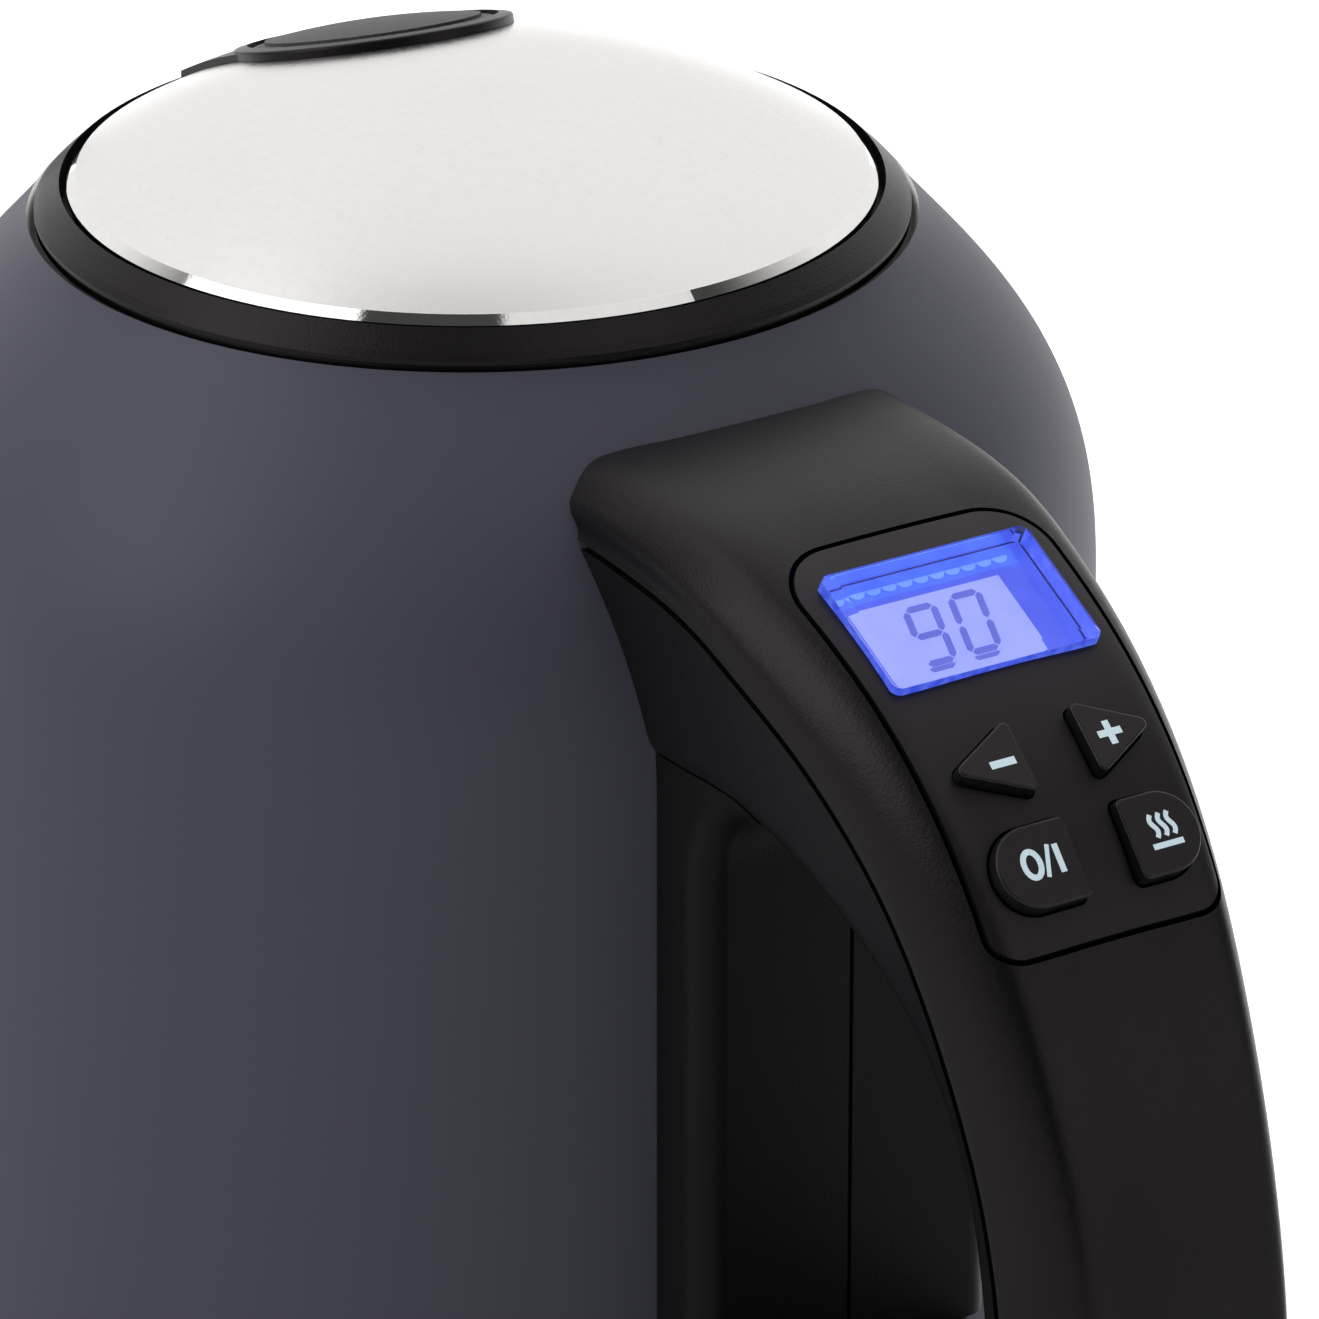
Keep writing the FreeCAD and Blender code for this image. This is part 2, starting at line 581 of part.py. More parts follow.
def walled(rows):
    """Closed shell between an outer and an inner skin."""
    outer, inside = (skin([rows(i, d) for i in range(len(ST))]) for d in (0.0, hw))
    faces = [outer.toShape(), inside.toShape()]
    edge = []
    for f in (outer, inside):
        u0, u1, v0, v1 = f.bounds()
        edge.append([f.uIso(u0).toShape(), f.uIso(u1).toShape(), f.vIso(v0).toShape(), f.vIso(v1).toShape()])
    for k in range(4):
        faces.append(Part.makeRuledSurface(edge[0][k], edge[1][k]))
    sewn = Part.makeCompound(faces)
    sewn.sewShape(0.01)
    body = Part.Solid(Part.Shell(sewn.Faces))
    if body.Volume < 0:
        body.reverse()
    return body


raw_up, raw_low = walled(upper_rows), walled(lower_rows)
# a rib across the root of the lower shell takes the two fixing screws
rib = Part.makeBox(2.4, 30.0, 16.6, V(74.2, -15.0, rim - 40.8))
for v in (-10.0, 10.0):
    rib = rib.cut(Part.makeCylinder(2.1, 10, V(72, v, rim - 32), V(1, 0, 0)))
upper = raw_up.cut(keepout)
lower = raw_low.fuse(rib).cut(keepout)


def biggest(shape):
    return sorted(shape.Solids, key=lambda q: q.Volume)[-1]


upper, lower = biggest(upper), biggest(lower)
# way through for the wires
for cut_ in (Part.makeCylinder(2.2, 90, V(72.4, 0, rim - 128.0)), Part.makeCylinder(2.2, 20, V(60, 0, 32.0), V(1, 0, 0))):
    lower = biggest(lower.cut(cut_))

# control panel: a plate let flush into the upper shell
SL = math.radians(40.0)
pn, pe2 = V(math.sin(SL), 0, math.cos(SL)), V(math.cos(SL), 0, -math.sin(SL))
po_ = V(105.0, 0, rim - 28.0)


def e2_of(u, z):
    return (V(u, 0, z + rim) - po_).dot(pe2)


p_top, p_low = e2_of(83.6, -13.4), e2_of(124.2, -44.2)


def panel_outline(g):
    a, b = P("panel_top") + g, P("panel_low") + g
    return rounded([(-a, p_top - g), (a, p_top - g), (b, p_low + g), (-b, p_low + g)],
                   [6.5 + g, 6.5 + g, 3.4 + g, 3.4 + g])


# right-handed local frame on the panel
E1 = pe2.cross(pn) * -1
if E1.cross(pe2).dot(pn) < 0:
    E1 = E1 * -1
cut_tool = prism(panel_outline(P("panel_groove")), po_, E1, pe2, pn, -14, 14)
plate_tool = prism(panel_outline(0.0), po_, E1, pe2, pn, -14, 14)
panel = biggest(upper.common(plate_tool))
upper = biggest(upper.cut(cut_tool))


def local(u, z, slope):
    s = math.radians(slope)
    n = V(math.sin(s), 0, math.cos(s))
    b = V(math.cos(s), 0, -math.sin(s))
    a = b.cross(n) * -1
    if a.cross(b).dot(n) < 0:
        a = a * -1
    return V(u, 0, z + rim), a, b, n


# sign of the local sideways axis against +Y
lens_f = local(95.45, -18.25, 26.9)
tri_f = local(111.6, -28.4, 39.5)
dee_f = local(119.56, -36.85, 48.5)
sy = 1.0 if tri_f[1].y > 0 else -1.0


def box_edges(a, b, r):
    return rounded([(-a, -b), (a, -b), (a, b), (-a, b)], [r] * 4)


lh, ll, lp = P("lens_half"), P("lens_long") / 2, P("lens_proud")
lens = prism(box_edges(lh, ll, 1.0), *lens_f, -2.6, lp)
lens = lens.makeChamfer(0.9, [e for e in lens.Edges if abs((e.BoundBox.Center - lens_f[0]).dot(lens_f[3]) - lp) < 0.05])
panel = panel.cut(prism(box_edges(lh + 0.15, ll + 0.15, 1.15), *lens_f, -8, 8))
feat("display_lens", lens)
feat("lcd_module", prism(box_edges(lh - 1.0, ll - 0.9, 0.6), *lens_f, -5.0, -2.7))
feat("backlight", prism(box_edges(lh - 1.0, ll - 0.9, 0.6), *lens_f, -6.4, -5.1))


def tri_edges(side, g):
    # tip outwards, base towards the middle
    tip, base = (12.6, 3.6) if side < 0 else (12.8, 4.2)
    return rounded([(side * sy * (tip + 1.5 * g), 0.0), (side * sy * (base - g), 4.5 + 1.25 * g),
                    (side * sy * (base - g), -4.5 - 1.25 * g)], [0.8 + g, 0.7 + g, 0.7 + g])


def dee_edges(side, g):
    x0, x1 = (2.3, 12.1) if side < 0 else (4.3, 12.9)
    x0, x1, b = x0 - g, x1 + g, 4.5 + g
    s = side * sy
    r = b - 0.02
    return rounded([(s * x0, -b), (s * x1, -b), (s * x1, b), (s * x0, b)], [0.7 + g, r, r, 0.7 + g])


kg, kp, kt = P("key_gap"), P("key_proud"), P("key_travel")
KEYS = [("minus_key", tri_f, tri_edges, -1), ("plus_key", tri_f, tri_edges, 1),
        ("power_key", dee_f, dee_edges, -1), ("warm_key", dee_f, dee_edges, 1)]
switches = []
for name, fr_, outline, side in KEYS:
    key = prism(outline(side, 0.0), *fr_, -4.2, kp)
    top = [e for e in key.Edges if abs((e.BoundBox.Center - fr_[0]).dot(fr_[3]) - kp) < 0.02]
    try:
        rounded_key = key.makeFillet(0.3, top)
        key = rounded_key if rounded_key.isValid() else key
    except Part.OCCError:
        pass
    feat(name, key)
    panel = panel.cut(prism(outline(side, kg), *fr_, -9, 9))
    cx = 8.0 * side * sy
    switches.append(prism(rounded([(cx - 2.6, -2.6), (cx + 2.6, -2.6), (cx + 2.6, 2.6), (cx - 2.6, 2.6)], [0.4] * 4),
                          *fr_, -7.7, -4.2 - kt - 0.25))
feat("control_panel", biggest(panel))
feat("tact_switches", Part.makeCompound(switches))
bd = local(104.0, -26.0, 40.0)
feat("control_board", prism(box_edges(11.5, 17.5, 1.0), *bd, -12.6, -11.0))

# bracket on the shell, and the screws that hold the handle to it
feat("handle_upper_shell", upper)
feat("handle_lower_shell", lower)
bracket = Part.makeBox(7.0, 28.0, 12.0, V(67.0, -14.0, rim - 38.0)).cut(keepout)
for v in (-10.0, 10.0):
    bracket = bracket.cut(Part.makeCylinder(2.05, 20, V(60, v, rim - 32), V(1, 0, 0)))
feat("handle_bracket", biggest(bracket))
feat("handle_screws", Part.makeCompound([
    Part.makeCylinder(2.0, 5.6, V(71.0, v, rim - 32), V(1, 0, 0)).fuse(
        Part.makeCylinder(3.6, 2.2, V(76.6, v, rim - 32), V(1, 0, 0))).removeSplitter() for v in (-10.0, 10.0)]))

# spine along the shell, between the two ends of the loop
sp_hi, sp_lo, sh_, su = rim - 40.0, rim - 113.8, P("spine_half"), P("spine_u")
# its front flows out into the underside of the loop
c45 = math.sqrt(0.5)
corner = [V(60, -sh_, sp_lo), V(su, -sh_, sp_lo), V(su, -sh_, rim - 52.0), V(su + 9.0, -sh_, rim - 43.0),
          V(su + 9.0, -sh_, sp_hi), V(60, -sh_, sp_hi)]
sides = [Part.LineSegment(corner[k], corner[k + 1]).toShape() for k in (0, 1, 3, 4)]
sides += [Part.LineSegment(corner[5], corner[0]).toShape(),
          Part.Arc(corner[2], V(su + 9.0 * (1 - c45), -sh_, rim - 52.0 + 9.0 * c45), corner[3]).toShape()]
spine = Part.Face(Part.Wire(Part.__sortEdges__(sides))).extrude(V(0, 2 * sh_, 0))
es = [e for e in spine.Edges if e.BoundBox.YLength < 0.01 and e.BoundBox.XMin > su - 0.01 and e.BoundBox.ZMax < rim - 42.9]
spine = spine.makeFillet(3.4, es)
spine = spine.cut(keepout)
for drop in (0.0, 0.25):
    under = raw_low.copy()
    under.translate(V(0, 0, -drop))
    spine = biggest(spine.cut(under))
spine = spine.cut(Part.makeBox(su - 60 - 1.2, 6.0, sp_hi - sp_lo + 2, V(60, -3.0, sp_lo - 1)))
spine = spine.cut(Part.makeBox(1.0, 0.5, sp_hi - sp_lo + 2, V(su - 0.4, -0.25, sp_lo - 1)))
feat("handle_spine", biggest(spine))
wz = 32.0
wp = [V(72.4, 0, rim - 38.3), V(72.4, 0, wz), V(56.0, 0, wz)]
wire = tangent_path(wp, [6.0])
ring = Part.Wire(Part.Circle(wp[0], V(0, 0, -1), 1.7).toShape())
feat("wire_loom", wire.makePipeShell([ring], True, False))

# ---------------------------------------------------------------- lid
dr, dh, dw = P("dome_rad"), P("dome_rise"), P("dome_wall")
R_out = (dr * dr + dh * dh) / (2 * dh)
sheet.set("A90", "dome_sphere")
sheet.set("B90", "=(dome_rad * dome_rad + dome_rise * dome_rise) / (2 * dome_rise)")
sheet.setAlias("B90", "dome_sphere")
doc.recompute()
zb = math.sqrt(R_out ** 2 - (dr - 1.0) ** 2) - (R_out - dh)
zi = math.sqrt((R_out - 0.8) ** 2 - (dr - 1.4) ** 2) - (R_out - dh)
rev_body("lid_dome", [
    (0, ("rim_z", "dome_rise"), "dome_sphere", -1), (("dome_rad", -1.0), ("rim_z", zb)),
    ("dome_rad", ("rim_z", -0.35)), ("dome_rad", ("rim_z", -1.1)), (("dome_rad", -0.9), ("rim_z", -1.1)),
    (("dome_rad", -1.4), ("rim_z", zi), ("dome_sphere", -0.8), 1), (0, ("rim_z", "dome_rise", -0.8))])
rev_body("lid_liner", [
    (0, ("rim_z", -9.0)), (("liner_rad", -4.0), ("rim_z", -9.0)), (("liner_rad", -3.4), ("rim_z", -8.4)),
    (("liner_rad", -3.4), ("rim_z", -7.0)), (("liner_rad", -1.6), ("rim_z", -7.0)), (("liner_rad", -1.6), ("rim_z", -5.0)),
    ("liner_rad", ("rim_z", -4.0)), ("liner_rad", ("rim_z", -1.2)), (("liner_rad", -1.2), ("rim_z", -1.2)),
    (("liner_rad", -2.6), ("rim_z", -3.2)), (("liner_rad", -3.4), ("rim_z", -6.2)), (0, ("rim_z", -7.4))])
rev_body("lid_seal", [
    (("liner_rad", -1.55), ("rim_z", -6.9)), ("seal_rad", ("rim_z", -6.6)), ("seal_rad", ("rim_z", -6.0)),
    (("liner_rad", -1.55), ("rim_z", -5.2))])
stud_at = [(20 * math.cos(math.radians(a)), 20 * math.sin(math.radians(a))) for a in (0, 120, 240)]
feat("lid_screws", Part.makeCompound([
    cyl(1.3, rim - 9.0, rim + 9.0, x, y).fuse(cyl(2.6, rim - 10.0, rim - 9.0, x, y)).removeSplitter()
    for x, y in stud_at]))
liner = doc.getObject("lid_liner")
sk = liner.newObject("Sketcher::SketchObject", "liner_holes")
sk.AttachmentSupport = [(plane_of(liner, "XY_Plane"), "")]
sk.MapMode = "FlatFace"
for x, y in stud_at:
    g = sk.addGeometry(Part.Circle(V(x, y, 0), V(0, 0, 1), 1.4), False)
    sk.addConstraint(Sketcher.Constraint("Radius", g, 1.4))
doc.recompute()
lq = liner.newObject("PartDesign::Pocket", "liner_holes_cut")
lq.Profile = sk
lq.Type = 1
lq.Midplane = True
liner.Tip = lq
doc.recompute()

tl = math.radians(P("grip_tilt"))
gn, ge = V(-math.sin(tl), 0, math.cos(tl)), V(math.cos(tl), 0, math.sin(tl))
g0 = V(P("grip_x"), 0, rim + P("grip_z"))
gw = P("grip_half")
x_end = -math.sqrt((dr - 1.2) ** 2 - gw ** 2)
ball = Part.makeSphere(R_out + 0.03, V(0, 0, rim + dh - R_out))
pocket = P("grip_pocket")
# a round pad that follows the dome, with a tail of the same thickness from it to the rim
arc = Part.Arc(V(x_end, gw, 0), V(-(dr - 1.2), 0, 0), V(x_end, -gw, 0)).toShape()
outline = [Part.LineSegment(V(-26, gw - 2.2, 0), V(x_end, gw, 0)).toShape(), arc,
           Part.LineSegment(V(x_end, -gw, 0), V(-26, -gw + 2.2, 0)).toShape(),
           Part.LineSegment(V(-26, -gw + 2.2, 0), V(-26, gw - 2.2, 0)).toShape()]
tail = Part.Face(Part.Wire(Part.__sortEdges__(outline))).extrude(V(0, 0, 40))
tail.translate(V(0, 0, rim - 5))


def dome_skin(height):
    return Part.makeSphere(R_out + height, V(0, 0, rim + dh - R_out))


tail = tail.common(dome_skin(P("grip_thick") - 0.25))
pad = Part.makeCylinder(P("grip_rad"), 12.0, g0 - gn * 6.0, gn).common(dome_skin(P("grip_thick")))
pad = pad.makeFillet(0.35, [e for e in pad.Edges if e.BoundBox.YLength > 20 and (e.BoundBox.Center - g0).dot(gn) > -3.0])
grip = biggest(tail.fuse(pad).cut(ball))
grip = biggest(grip.cut(Part.makeCylinder(pocket, 12.0, g0 - gn * 6.0, gn).cut(dome_skin(0.35))))
turn = (V(0, 0, 0), V(0, 0, 1), P("grip_turn"))
grip.rotate(*turn)
feat("lid_grip", grip)
ins = Part.makeCylinder(pocket - 0.7, 12.0, g0 - gn * 6.0, gn).common(dome_skin(0.6))
ins = ins.fuse(Part.makeCylinder(P("plate_rad"), 12.0, g0 - gn * 6.0, gn).common(dome_skin(0.95)))
ins = biggest(ins.removeSplitter().cut(dome_skin(0.38)))
ins.rotate(*turn)
feat("lid_grip_plate", ins)

# ---------------------------------------------------------------- checks and output
doc.recompute()
bad = []
for o in doc.Objects:
    if "Invalid" in o.State or "Error" in o.State:
        bad.append((o.Name, o.State))
for o in NODES:
    if o.Shape.isNull() or not o.Shape.isValid():
        bad.append((o.Label, "shape"))
if bad:
    raise SystemExit("failed: %s" % bad)
os.makedirs("parts", exist_ok=True)
for o in NODES:
    o.Shape.exportStep("parts/%s.step" % o.Label)
    b = o.Shape.optimalBoundingBox(True, False)
    print("%-22s %2d %9.1f  x %7.1f %7.1f  y %7.1f %7.1f  z %7.1f %7.1f" % (
        o.Label, len(o.Shape.Solids), o.Shape.Volume, b.XMin, b.XMax, b.YMin, b.YMax, b.ZMin, b.ZMax))
print("nodes", len(NODES))
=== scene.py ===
import bpy
import bmesh
import math
from mathutils import Vector, Matrix


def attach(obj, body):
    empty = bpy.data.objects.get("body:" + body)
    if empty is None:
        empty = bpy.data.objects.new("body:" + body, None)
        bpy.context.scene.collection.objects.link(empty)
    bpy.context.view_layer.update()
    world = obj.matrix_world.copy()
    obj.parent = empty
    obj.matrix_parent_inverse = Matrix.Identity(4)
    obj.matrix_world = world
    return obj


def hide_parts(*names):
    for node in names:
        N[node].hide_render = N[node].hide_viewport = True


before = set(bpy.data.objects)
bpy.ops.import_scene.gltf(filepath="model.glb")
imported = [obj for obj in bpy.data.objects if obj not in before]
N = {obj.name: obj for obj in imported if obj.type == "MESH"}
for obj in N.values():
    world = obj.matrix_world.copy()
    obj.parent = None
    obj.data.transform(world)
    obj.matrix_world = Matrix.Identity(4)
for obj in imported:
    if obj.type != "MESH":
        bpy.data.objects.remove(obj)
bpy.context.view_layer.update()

ZR = 0.156          # height of the lid's rim plane
MM = 0.001
WORLD_LOW, WORLD_HIGH = 0.06, 0.98
scene = bpy.context.scene


# ------------------------------------------------------------------ materials
def new_mat(name):
    m = bpy.data.materials.new(name)
    m.use_nodes = True
    nt = m.node_tree
    bsdf = nt.nodes["Principled BSDF"]
    return m, nt, bsdf


def grain(name, col, col2, rough, rough2, scale, bump=0.0, bump_scale=None, metallic=0.0, spec=0.5, coarse=14.0,
          coat=0.0, aniso=0.0):
    """Surface with two scales of colour variation, uneven gloss and a fine raised grain."""
    m, nt, b = new_mat(name)
    L = nt.links.new
    tc = nt.nodes.new("ShaderNodeTexCoord")
    fine = nt.nodes.new("ShaderNodeTexNoise")
    fine.inputs["Scale"].default_value = scale
    fine.inputs["Detail"].default_value = 3.0
    big = nt.nodes.new("ShaderNodeTexNoise")
    big.inputs["Scale"].default_value = coarse
    big.inputs["Detail"].default_value = 2.0
    L(tc.outputs["Object"], fine.inputs["Vector"])
    L(tc.outputs["Object"], big.inputs["Vector"])
    add = nt.nodes.new("ShaderNodeMath")
    add.operation = "MULTIPLY_ADD"
    L(fine.outputs["Fac"], add.inputs[0])
    add.inputs[1].default_value = 0.6
    half = nt.nodes.new("ShaderNodeMath")
    half.operation = "MULTIPLY"
    L(big.outputs["Fac"], half.inputs[0])
    half.inputs[1].default_value = 0.4
    L(half.outputs[0], add.inputs[2])
    ramp = nt.nodes.new("ShaderNodeValToRGB")
    ramp.color_ramp.elements[0].position = 0.3
    ramp.color_ramp.elements[1].position = 0.7
    ramp.color_ramp.elements[0].color = (*col, 1)
    ramp.color_ramp.elements[1].color = (*col2, 1)
    L(add.outputs[0], ramp.inputs["Fac"])
    L(ramp.outputs["Color"], b.inputs["Base Color"])
    mr = nt.nodes.new("ShaderNodeMapRange")
    mr.inputs["From Min"].default_value = 0.3
    mr.inputs["From Max"].default_value = 0.7
    mr.inputs["To Min"].default_value = rough
    mr.inputs["To Max"].default_value = rough2
    L(add.outputs[0], mr.inputs["Value"])
    L(mr.outputs["Result"], b.inputs["Roughness"])
    b.inputs["Metallic"].default_value = metallic
    b.inputs["Specular IOR Level"].default_value = spec
    b.inputs["Coat Weight"].default_value = coat
    b.inputs["Anisotropic"].default_value = aniso
    if bump > 0:
        bn = nt.nodes.new("ShaderNodeTexNoise")
        bn.inputs["Scale"].default_value = bump_scale or scale
        bn.inputs["Detail"].default_value = 2.0
        L(tc.outputs["Object"], bn.inputs["Vector"])
        bp = nt.nodes.new("ShaderNodeBump")
        bp.inputs["Strength"].default_value = bump
        bp.inputs["Distance"].default_value = 0.0001
        L(bn.outputs["Fac"], bp.inputs["Height"])
        L(bp.outputs["Normal"], b.inputs["Normal"])
    return m


paint = grain("paint", (0.080, 0.0795, 0.1165), (0.0875, 0.087, 0.127), 0.50, 0.56, 2600, 0.10, 5200, spec=0.40)
black = grain("black_plastic", (0.0046, 0.0040, 0.0047), (0.0066, 0.0058, 0.0067), 0.34, 0.42, 2400, 0.34, 3000, spec=0.27)
# darker, rougher copy of the black plastic: the rougher gloss is real, the lower albedo is painted shade for the spine
# in the handle's gap and the parts at the base
black_shaded = grain("black_plastic_matt_shaded", (0.0030, 0.0027, 0.0031), (0.0045, 0.0040, 0.0046), 0.46, 0.56, 2400, 0.2, 3600, spec=0.22)
panel_m = grain("panel_plastic", (0.0055, 0.0047, 0.0056), (0.0075, 0.0065, 0.0076), 0.40, 0.48, 2600, 0.18, 4200, spec=0.40)
key_m = grain("key_plastic", (0.0065, 0.0058, 0.0060), (0.0090, 0.0082, 0.0084), 0.36, 0.44, 2600, 0.15, 4200, spec=0.5)
for m in (black, black_shaded, panel_m, key_m):
    m.node_tree.nodes["Principled BSDF"].inputs["Specular Tint"].default_value = (1.0, 0.90, 0.98, 1)
plate_m = grain("plate_grey", (0.030, 0.031, 0.032), (0.120, 0.123, 0.125), 0.5, 0.65, 1500, 0.7, 1500, spec=0.3)
steel = grain("steel", (0.60, 0.60, 0.59), (0.68, 0.67, 0.66), 0.26, 0.36, 300, 0.05, 1500, metallic=1.0)
alu = grain("alu", (0.66, 0.67, 0.68), (0.74, 0.75, 0.75), 0.35, 0.45, 300, 0.05, 1500, metallic=1.0)
brass = grain("brass", (0.62, 0.43, 0.16), (0.72, 0.53, 0.24), 0.22, 0.32, 300, metallic=1.0)
rubber = grain("rubber", (0.018, 0.018, 0.018), (0.026, 0.026, 0.026), 0.7, 0.8, 1200, 0.2, 2400, spec=0.3)
silicone = grain("silicone", (0.42, 0.42, 0.41), (0.50, 0.50, 0.49), 0.55, 0.65, 500, spec=0.4)
board_m = grain("board", (0.010, 0.075, 0.028), (0.014, 0.105, 0.040), 0.3, 0.4, 900)
white_m = grain("white_plastic", (0.66, 0.66, 0.65), (0.74, 0.74, 0.73), 0.4, 0.5, 500)
wire_m = grain("wire_red", (0.25, 0.015, 0.015), (0.32, 0.02, 0.02), 0.5, 0.6, 700)
icon_m = grain("icon_print_painted_glow", (0.62, 0.76, 0.83), (0.70, 0.84, 0.90), 0.5, 0.6, 3000)
# painted glow: the printed symbols are given a faint emission of their own
icon_m.node_tree.nodes["Principled BSDF"].inputs["Emission Color"].default_value = (0.62, 0.80, 0.88, 1)
icon_m.node_tree.nodes["Principled BSDF"].inputs["Emission Strength"].default_value = 0.35


def dome_material():
    """Satin steel with a polished bevel at the rim."""
    m = grain("dome_steel", (0.80, 0.79, 0.775), (0.86, 0.85, 0.84), 0.25, 0.33, 900, 0.03, 3000, metallic=1.0, coarse=40.0)
    nt = m.node_tree
    L = nt.links.new
    b = nt.nodes["Principled BSDF"]
    tc = nt.nodes.new("ShaderNodeTexCoord")
    sep = nt.nodes.new("ShaderNodeSeparateXYZ")
    L(tc.outputs["Object"], sep.inputs[0])
    x2 = nt.nodes.new("ShaderNodeMath")
    x2.operation = "MULTIPLY"
    L(sep.outputs["X"], x2.inputs[0])
    L(sep.outputs["X"], x2.inputs[1])
    r2 = nt.nodes.new("ShaderNodeMath")
    r2.operation = "MULTIPLY_ADD"
    L(sep.outputs["Y"], r2.inputs[0])
    L(sep.outputs["Y"], r2.inputs[1])
    L(x2.outputs[0], r2.inputs[2])
    rr = nt.nodes.new("ShaderNodeMath")
    rr.operation = "SQRT"
    L(r2.outputs[0], rr.inputs[0])
    edge = nt.nodes.new("ShaderNodeMapRange")
    edge.inputs["From Min"].default_value = 0.04385
    edge.inputs["From Max"].default_value = 0.04400
    L(rr.outputs[0], edge.inputs["Value"])
    src = b.inputs["Roughness"].links[0].from_socket
    mx = nt.nodes.new("ShaderNodeMix")
    L(edge.outputs["Result"], mx.inputs["Factor"])
    L(src, mx.inputs["A"])
    mx.inputs["B"].default_value = 0.05
    L(mx.outputs["Result"], b.inputs["Roughness"])
    return m


dome_m = dome_material()


def glow(name, col, col2, strength, scale=260.0):
    m, nt, b = new_mat(name)
    L = nt.links.new
    tc = nt.nodes.new("ShaderNodeTexCoord")
    nz = nt.nodes.new("ShaderNodeTexNoise")
    nz.inputs["Scale"].default_value = scale
    L(tc.outputs["Object"], nz.inputs["Vector"])
    ramp = nt.nodes.new("ShaderNodeValToRGB")
    ramp.color_ramp.elements[0].position = 0.35
    ramp.color_ramp.elements[1].position = 0.65
    ramp.color_ramp.elements[0].color = (*col, 1)
    ramp.color_ramp.elements[1].color = (*col2, 1)
    L(nz.outputs["Fac"], ramp.inputs["Fac"])
    b.inputs["Base Color"].default_value = (0.01, 0.01, 0.03, 1)
    b.inputs["Roughness"].default_value = 0.4
    L(ramp.outputs["Color"], b.inputs["Emission Color"])
    b.inputs["Emission Strength"].default_value = strength
    return m


lilac = glow("lcd_lit", (0.345, 0.395, 0.98), (0.365, 0.42, 1.0), 1.0)
deep = glow("lcd_blue", (0.050, 0.095, 0.76), (0.062, 0.115, 0.82), 0.95)
mid_blue = glow("lcd_strip", (0.050, 0.14, 0.92), (0.065, 0.175, 0.98), 1.0)
led = glow("led_spot", (0.14, 0.32, 1.0), (0.20, 0.38, 1.0), 1.05)
digit = glow("lcd_digit", (0.105, 0.135, 0.60), (0.12, 0.15, 0.64), 0.9)
rim_glow = glow("lens_rim", (0.035, 0.075, 0.72), (0.10, 0.16, 0.86), 0.9, 700.0)


def lens_material():
    m, nt, b = new_mat("lens_clear")
    L = nt.links.new
    tc = nt.nodes.new("ShaderNodeTexCoord")
    nz = nt.nodes.new("ShaderNodeTexNoise")
    nz.inputs["Scale"].default_value = 500.0
    L(tc.outputs["Object"], nz.inputs["Vector"])
    ramp = nt.nodes.new("ShaderNodeValToRGB")
    ramp.color_ramp.elements[0].color = (0.86, 0.88, 1.0, 1)
    ramp.color_ramp.elements[1].color = (0.92, 0.93, 1.0, 1)
    L(nz.outputs["Fac"], ramp.inputs["Fac"])
    L(ramp.outputs["Color"], b.inputs["Base Color"])
    b.inputs["Roughness"].default_value = 0.0
    b.inputs["Transmission Weight"].default_value = 1.0
    b.inputs["IOR"].default_value = 1.12
    b.inputs["Coat Weight"].default_value = 0.25
    b.inputs["Coat Roughness"].default_value = 0.04
    # painted glow: the clear lens gets a faint blue emission of its own
    b.inputs["Emission Color"].default_value = (0.03, 0.05, 0.9, 1)
    b.inputs["Emission Strength"].default_value = 0.05
    return m


lens_m = lens_material()

USE = {
    "body_shell": paint, "spout_tube": paint, "spout_socket": paint,
    # the spine and the base parts take the copy with painted shade
    "rim_collar": black, "handle_upper_shell": black, "handle_lower_shell": black, "handle_spine": black_shaded,
    "control_panel": panel_m, "lid_grip": black, "base_cover": black, "base_plate": black_shaded, "bottom_cover": black,
    "kettle_connector": black_shaded, "base_coupler": black_shaded, "minus_key": key_m, "plus_key": key_m,
    "power_key": key_m, "warm_key": key_m, "tact_switches": key_m, "lid_grip_plate": plate_m,
    "lid_dome": dome_m, "lid_liner": steel, "vessel_floor": steel, "heater_ring": steel,
    "temperature_sensor": steel, "connector_screws": steel, "base_screws": steel, "lid_screws": steel,
    "handle_screws": steel, "handle_bracket": steel, "heat_plate": alu, "coupler_contact_pin": brass,
    "coupler_contact_ring": brass, "base_feet": rubber, "base_cord_gland": rubber, "lid_seal": silicone,
    "display_lens": lens_m, "lcd_module": deep, "backlight": white_m, "control_board": board_m,
    "base_bearing_ring": white_m, "wire_loom": wire_m,
}
for name, ob in N.items():
    m = USE[name]
    if not ob.material_slots:
        ob.data.materials.append(m)
    for s in ob.material_slots:
        s.material = m


# ------------------------------------------------------------------ mesh helpers
def add_mesh(name, verts, faces, mat, body, sharp=30.0):
    me = bpy.data.meshes.new(name)
    me.from_pydata([tuple(v) for v in verts], [], faces)
    me.update()
    ob = bpy.data.objects.new(name, me)
    scene.collection.objects.link(ob)
    bm = bmesh.new()
    bm.from_mesh(me)
    bmesh.ops.recalc_face_normals(bm, faces=bm.faces)
    bm.to_mesh(me)
    bm.free()
    for p in me.polygons:
        p.use_smooth = True
    me.set_sharp_from_angle(angle=math.radians(sharp))
    me.materials.append(mat)
    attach(ob, body)
    return ob


def lathe(name, prof, mat, body, segs=288, sharp=30.0):
    verts, faces = [], []
    n = len(prof)
    for i in range(segs):
        a = 2 * math.pi * i / segs
        for r, z in prof:
            verts.append((r * MM * math.cos(a), r * MM * math.sin(a), z * MM))
    for i in range(segs):
        j = (i + 1) % segs
        for k in range(n):
            q = (k + 1) % n
            faces.append((i * n + k, j * n + k, j * n + q, i * n + q))
    return add_mesh(name, verts, faces, mat, body, sharp)


# ------------------------------------------------------------------ smooth body shell
def body_r(zr):
    R, zm, r0 = 69.84, -50.094, 49.303
    if zr <= zm:
        return R
    t = min((zr - zm) / (-3.5 - zm), 1.0)
    return r0 + (R - r0) * max(1 - t ** 2.903, 0) ** (1 / 0.775)


